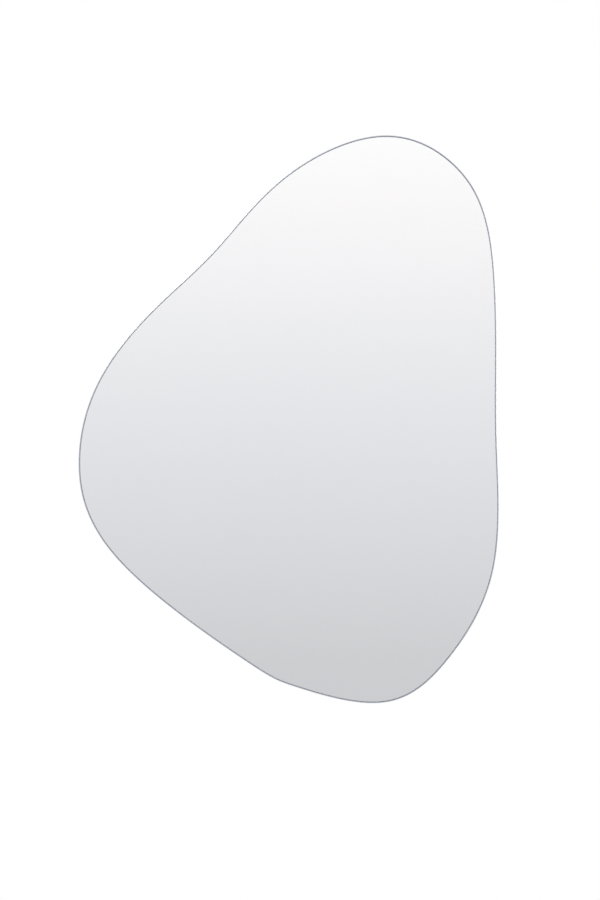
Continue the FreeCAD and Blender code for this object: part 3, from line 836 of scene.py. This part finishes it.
def makeRecess():
    # a cross that tapers inwards, reaching up past the head
    bm = bmesh.new()
    bmesh.ops.create_grid(bm, x_segments=3, y_segments=3, size=1)
    corners = [face for face in bm.faces if min(map(abs, face.calc_center_median().xy)) > 0.5]
    bmesh.ops.delete(bm, geom=corners, context="FACES")
    for vert in bm.verts:
        for axis in (0, 1):
            arm = screw["recessSpan"] if abs(vert.co[axis]) > 0.9 else screw["recessSlot"]
            vert.co[axis] = math.copysign(arm / 2, vert.co[axis])
    bmesh.ops.rotate(bm, verts=bm.verts[:], matrix=Matrix.Rotation(math.radians(90), 3, "X"))
    bmesh.ops.translate(bm, verts=bm.verts[:], vec=(0, screw["headHeight"] - screw["recessDepth"], 0))
    made = bmesh.ops.extrude_face_region(bm, geom=bm.faces[:])
    floor = [vert for vert in bm.verts if vert not in vertsOf(made)]
    bmesh.ops.translate(bm, verts=vertsOf(made), vec=(0, 2 * screw["recessDepth"], 0))
    bmesh.ops.scale(bm, vec=(screw["recessTaper"], 1, screw["recessTaper"]), verts=floor)
    return bm


def makeScrew(length):
    height, radius, power = screw["headHeight"], screw["headRadius"], 2 / screw["headShape"]
    turnsOfDome = [math.radians(90) * i / screw["headSteps"] for i in range(screw["headSteps"] + 1)]
    dome = [(radius * math.sin(turn) ** power, height * math.cos(turn) ** power) for turn in turnsOfDome[:-1]]
    whole = spinProfile(dome + [(radius, 0), (0, 0)], Vector(), screw["headSides"])
    head = makeObject(whole, "screw", [zincPlate])
    cutAway(head, makeObject(makeShank(length), "shank", [zincPlate]), "UNION")
    cutAway(head, makeObject(makeRecess(), "recess", [zincPlate]))
    return head


def makeScrews():
    low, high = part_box("bumper_screws")
    pattern = makeScrew(high.y - low.y - screw["headHeight"])
    turn = random.Random(7)
    sliver = 2e-6  # metres; shorter edges are dissolved
    for node, (name, count) in screwGroups.items():
        for number, seat in enumerate(screwSeats(node), start=1):
            bm = bmesh.new()
            bm.from_mesh(pattern.data)
            bmesh.ops.dissolve_degenerate(bm, dist=sliver, edges=bm.edges[:])
            bmesh.ops.rotate(bm, verts=bm.verts[:],
                             matrix=Matrix.Rotation(turn.uniform(0, math.tau), 3, "Y"))
            bmesh.ops.translate(bm, verts=bm.verts[:], vec=seat)
            mount(makeObject(bm, f"{name}_{number}", [zincPlate]), node)
    bpy.data.meshes.remove(pattern.data)


def makeBoard():
    shape = {"rearRound": 0.0008, "frontRound": 0.0004, "holeMouth": 0.0003, "drillPoint": 0.0011,
             "holeSides": 32}
    low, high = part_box("backing_board")
    bm = outlineSlab(insetOf("backing_board"), low.y, high.y)
    for depth, amount in ((high.y, shape["rearRound"]), (low.y, shape["frontRound"])):
        soften(bm, [edge for edge in creases(bm) if abs(edge.verts[0].co.y - depth) < samePlace], amount)
    finishRim(bm)
    board = makeObject(bm, "fibreboard_back", [boardFace, boardEdge])
    radius, foot = screw["pilotRadius"], high.y - screw["pilotDepth"]
    mouth = shape["holeMouth"]
    drill = [(0, foot), (radius, foot + shape["drillPoint"]), (radius, high.y - mouth),
             (radius + 2 * mouth, high.y + mouth), (0, high.y + mouth)]
    for node in screwGroups:
        for seat in screwSeats(node):
            hole = spinProfile(drill, seat, shape["holeSides"])
            cutAway(board, makeObject(hole, "drill", [boardEdge]))
    mount(board, "backing_board")
    board.modifiers.new("flatSides", "WEIGHTED_NORMAL")


def scoreRail(bm, height, face, width, depth):
    # a fine V along the rail, which marks the height of its holes on the side that the driver meets
    onPlane = 1e-7  # metres
    for level in (height - width / 2, height, height + width / 2):
        bmesh.ops.bisect_plane(bm, geom=bm.verts[:] + bm.edges[:] + bm.faces[:], dist=onPlane,
                               plane_co=(0, 0, level), plane_no=(0, 0, 1))
    for vert in bm.verts:
        if abs(vert.co.z - height) < samePlace and abs(vert.co.y - face) < samePlace:
            vert.co.y += depth


def makeRail(node, name, holeHeight, grooveFace, inwards):
    shape = {"edge": 0.00028, "grooveWidth": 0.0006, "grooveDepth": 0.0002}
    bm = bmesh.new()
    bm.from_mesh(frame["nodes"][node].data)
    bmesh.ops.remove_doubles(bm, verts=bm.verts[:], dist=samePlace)
    bmesh.ops.dissolve_limit(bm, angle_limit=math.radians(0.5), verts=bm.verts[:], edges=bm.edges[:])
    soften(bm, creases(bm), shape["edge"], segments=2)
    scoreRail(bm, holeHeight, grooveFace, shape["grooveWidth"], inwards * shape["grooveDepth"])
    rail = mount(makeObject(bm, name, [railMetal]), node)
    rail.modifiers.new("flatSides", "WEIGHTED_NORMAL")


def makeRails():
    seat = screwSeats("board_rail_screws")[0]
    makeRail("board_rail", "panel_z_rail", seat.z, seat.y, -1)
    metal = seat.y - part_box("board_rail")[0].y
    makeRail("wall_rail", "wall_z_rail", 0, -metal, 1)


def ringAt(bm, centre, radius, depth):
    near = 1e-5  # metres

    def onRing(vert):
        across = math.hypot(vert.co.x - centre.x, vert.co.z - centre.z)
        return abs(across - radius) < near and abs(vert.co.y - depth) < near
    return [edge for edge in bm.edges if all(map(onRing, edge.verts))]


def makeBumper(node):
    shape = {"taper": 0.0015, "holeRadius": 0.0019, "wellRadius": 0.0045, "wellDepth": 0.0035,
             "wallRound": 0.0012, "boardRound": 0.0003, "mouthRound": 0.0006, "wellRound": 0.0006,
             "mouldLine": 0.00012, "mouldLineShare": 0.35, "sides": 72, "segments": 5}
    low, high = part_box(node)
    centre = (low + high) / 2
    radius = (high.x - low.x) / 2
    rim = radius - shape["taper"]
    floor = high.y - shape["wellDepth"]
    lineDepth = low.y + (high.y - low.y) * shape["mouldLineShare"]
    lineRadius = radius - shape["taper"] * shape["mouldLineShare"]
    half = shape["mouldLine"]
    axis = Vector((centre.x, 0, centre.z))
    bm = spinProfile([
        (shape["holeRadius"], low.y), (radius, low.y),
        (lineRadius, lineDepth - half), (lineRadius + half, lineDepth), (lineRadius, lineDepth + half),
        (rim, high.y), (shape["wellRadius"], high.y), (shape["wellRadius"], floor),
        (shape["holeRadius"], floor), (shape["holeRadius"], low.y)], axis, shape["sides"])
    for ringRadius, depth, amount in ((rim, high.y, shape["wallRound"]), (radius, low.y, shape["boardRound"]),
                                      (shape["wellRadius"], high.y, shape["mouthRound"]),
                                      (shape["wellRadius"], floor, shape["wellRound"])):
        soften(bm, ringAt(bm, axis, ringRadius, depth), amount, shape["segments"])
    mount(makeObject(bm, node.replace("bumper", "rubber_bumper"), [mouldedRubber]), node)


for number in range(1, 6):
    makeTape(number)
for number in range(1, 5):
    makeBead(number)
print("tapes and beads made")
makeBoard()
makeRails()
print("board and rails made")
makeBumper("bumper_left")
makeBumper("bumper_right")
makeScrews()
print("bumpers and screws made")
